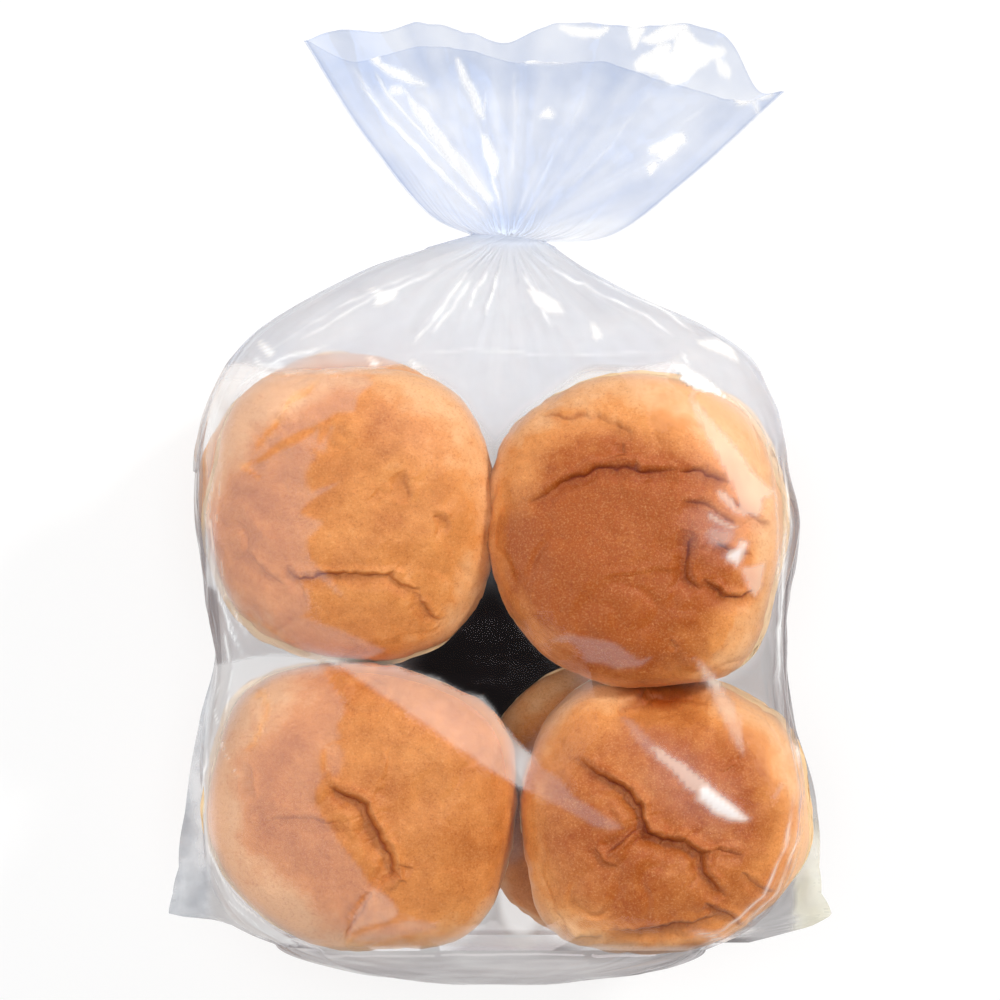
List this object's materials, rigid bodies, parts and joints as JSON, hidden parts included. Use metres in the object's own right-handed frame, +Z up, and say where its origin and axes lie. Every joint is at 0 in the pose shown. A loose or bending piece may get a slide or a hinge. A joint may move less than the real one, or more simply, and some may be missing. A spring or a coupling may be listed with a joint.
{
  "type": "bagged hamburger buns",
  "caption": "Soft round hamburger buns in a clear plastic bag, lying on its back, with a gathered neck, an open flared top, side seams and a folded bottom.",
  "frame": {"origin": "under the middle of the bag's box, on the surface that the bag lies on", "axes": "+Y along the bag from its bottom to its open top, +X across it to the right seen from above, +Z up through the side that shows"},
  "size_m": [0.2286, 0.3346, 0.0927],
  "materials": {
    "film": "clear glossy film",
    "crust": "baked golden-brown crust with a slight sheen",
    "crumb": "soft pale bread crumb"
  },
  "bodies": {
    "root": {"bag": "film"}
  },
  "joints": []
}
